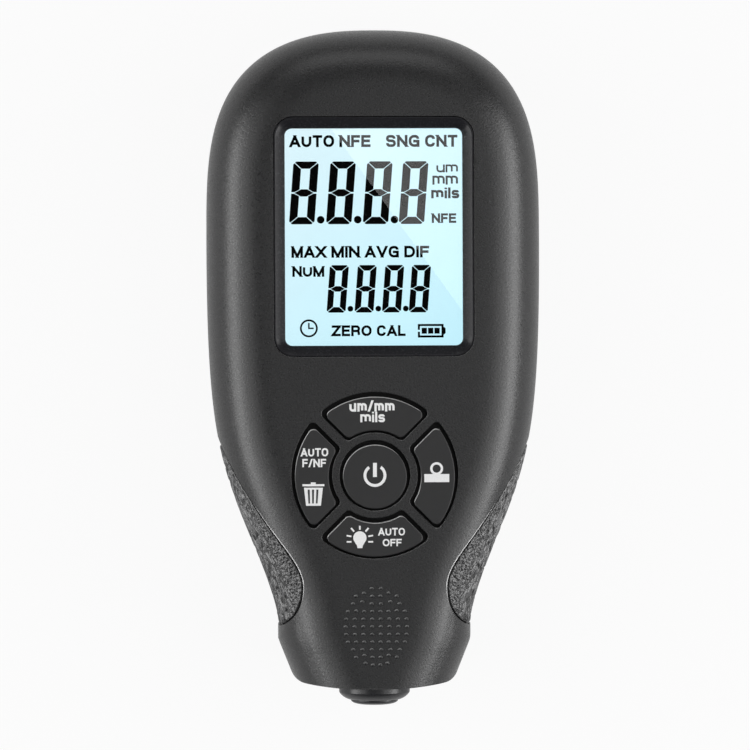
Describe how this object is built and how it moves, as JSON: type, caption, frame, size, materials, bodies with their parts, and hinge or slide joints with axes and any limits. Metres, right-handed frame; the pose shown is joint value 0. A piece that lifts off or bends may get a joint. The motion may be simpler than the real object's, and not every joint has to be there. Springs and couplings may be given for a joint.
{
  "type": "coating thickness gauge",
  "caption": "Handheld gauge with a display, five keys, rubber side grips and a sprung probe that reads the thickness of a coating on metal.",
  "frame": {"origin": "centre of the bounding box's footprint, on the back of the case where it rests", "axes": "+Z out of the display, +Y up the display away from the probe, +X to the right as the display is read"},
  "size_m": [0.0564, 0.1143, 0.0273],
  "materials": {
    "housing": "fine textured black plastic",
    "grip": "leather-grained black rubber",
    "key": "satin dark grey plastic with white legends",
    "bezel": "gloss black plastic",
    "window": "clear hard-coated plastic",
    "display": "backlit pale blue segment display",
    "backlight": "diffuser panel",
    "carrier": "natural moulded plastic",
    "zebra": "striped contact rubber",
    "board": "green solder mask",
    "chip": "moulded black resin",
    "socket": "ivory nylon",
    "mat": "grey silicone",
    "collar": "satin black plastic",
    "probe": "satin black plastic",
    "pole": "polished hard steel",
    "copper": "enamelled copper wire",
    "steel": "nickel-plated steel",
    "lead": "black insulation",
    "cell": "plain printed cell jacket"
  },
  "bodies": {
    "housing": {"front_case": "housing", "rear_case": "housing", "grip_left": "grip", "grip_right": "grip", "display_bezel": "bezel", "display_window": "window", "lcd_glass": "display", "backlight_panel": "backlight", "lcd_carrier": "carrier", "zebra_strip": "zebra", "circuit_board": "board", "microcontroller": "chip", "lead_connector": "socket", "keypad_mat": "mat", "probe_collar": "collar", "probe_spring": "steel", "spring_seat": "collar", "probe_lead": "lead", "battery_left": "cell", "battery_right": "cell", "contact_bridge": "steel", "contact_negative": "steel", "contact_positive": "steel", "case_screw_1": "steel", "case_screw_2": "steel", "case_screw_3": "steel", "case_screw_4": "steel", "board_screw_1": "steel", "board_screw_2": "steel", "board_screw_3": "steel", "board_screw_4": "steel"},
    "power_key": {"key_power": "key"},
    "units_key": {"key_units": "key"},
    "mode_key": {"key_mode": "key"},
    "zero_key": {"key_zero": "key"},
    "light_key": {"key_light": "key"},
    "probe": {"probe_body": "probe", "probe_pole": "pole", "probe_coil": "copper"},
    "door": {"battery_door": "housing"}
  },
  "joints": [
    {"name": "power_key_press", "type": "slide", "parent": "housing", "child": "power_key", "axis": [0, 0, -1], "range_m": [0, 0.0006], "stiffness_N_per_m": 2000, "springref_m": -0.0003, "deforming": ["keypad_mat"]},
    {"name": "units_key_press", "type": "slide", "parent": "housing", "child": "units_key", "axis": [0, 0, -1], "range_m": [0, 0.0006], "stiffness_N_per_m": 2000, "springref_m": -0.0003, "deforming": ["keypad_mat"]},
    {"name": "mode_key_press", "type": "slide", "parent": "housing", "child": "mode_key", "axis": [0, 0, -1], "range_m": [0, 0.0006], "stiffness_N_per_m": 2000, "springref_m": -0.0003, "deforming": ["keypad_mat"]},
    {"name": "zero_key_press", "type": "slide", "parent": "housing", "child": "zero_key", "axis": [0, 0, -1], "range_m": [0, 0.0006], "stiffness_N_per_m": 2000, "springref_m": -0.0003, "deforming": ["keypad_mat"]},
    {"name": "light_key_press", "type": "slide", "parent": "housing", "child": "light_key", "axis": [0, 0, -1], "range_m": [0, 0.0006], "stiffness_N_per_m": 2000, "springref_m": -0.0003, "deforming": ["keypad_mat"]},
    {"name": "probe_press", "type": "slide", "parent": "housing", "child": "probe", "axis": [0, 1, 0], "range_m": [0, 0.001], "stiffness_N_per_m": 1500, "springref_m": -0.0005, "deforming": ["probe_spring"]},
    {"name": "battery_door_hinge", "type": "hinge", "parent": "housing", "child": "door", "pos_m": [0, 0.044, 0], "axis": [1, 0, 0], "range_deg": [0, 60]}
  ]
}
